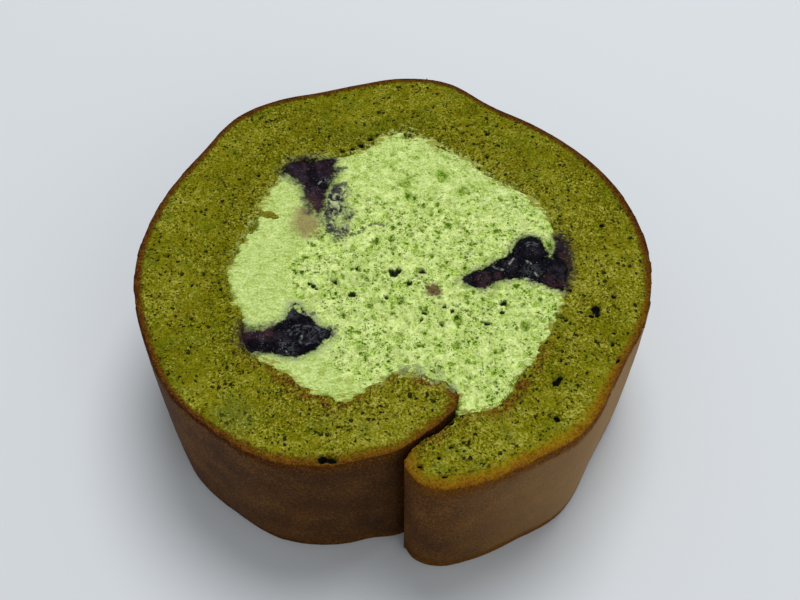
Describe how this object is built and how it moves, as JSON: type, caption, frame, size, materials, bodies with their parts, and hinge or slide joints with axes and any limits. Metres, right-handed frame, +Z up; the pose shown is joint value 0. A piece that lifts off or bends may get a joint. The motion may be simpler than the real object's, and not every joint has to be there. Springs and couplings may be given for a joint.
{
  "type": "swiss roll cake",
  "caption": "Thick slice of a green tea swiss roll lying on a cut face: sponge rolled round whipped cream with soft dark fruit, the seam at the front.",
  "frame": {"origin": "middle of the base, on the cut face that the slice lies on", "axes": "+Z up along the roll's axis, -Y towards the seam, +X to the right seen from the seam"},
  "size_m": [0.0964, 0.097, 0.033],
  "materials": {
    "sponge": "matte open crumb with a thin brown crust on the outside",
    "cream": "soft whipped cream, bubbly where cut",
    "fruit": "moist dark skin"
  },
  "bodies": {
    "root": {"sponge": "sponge", "cream": "cream", "fruit_left": "fruit", "fruit_right": "fruit", "fruit_back": "fruit"}
  },
  "joints": []
}
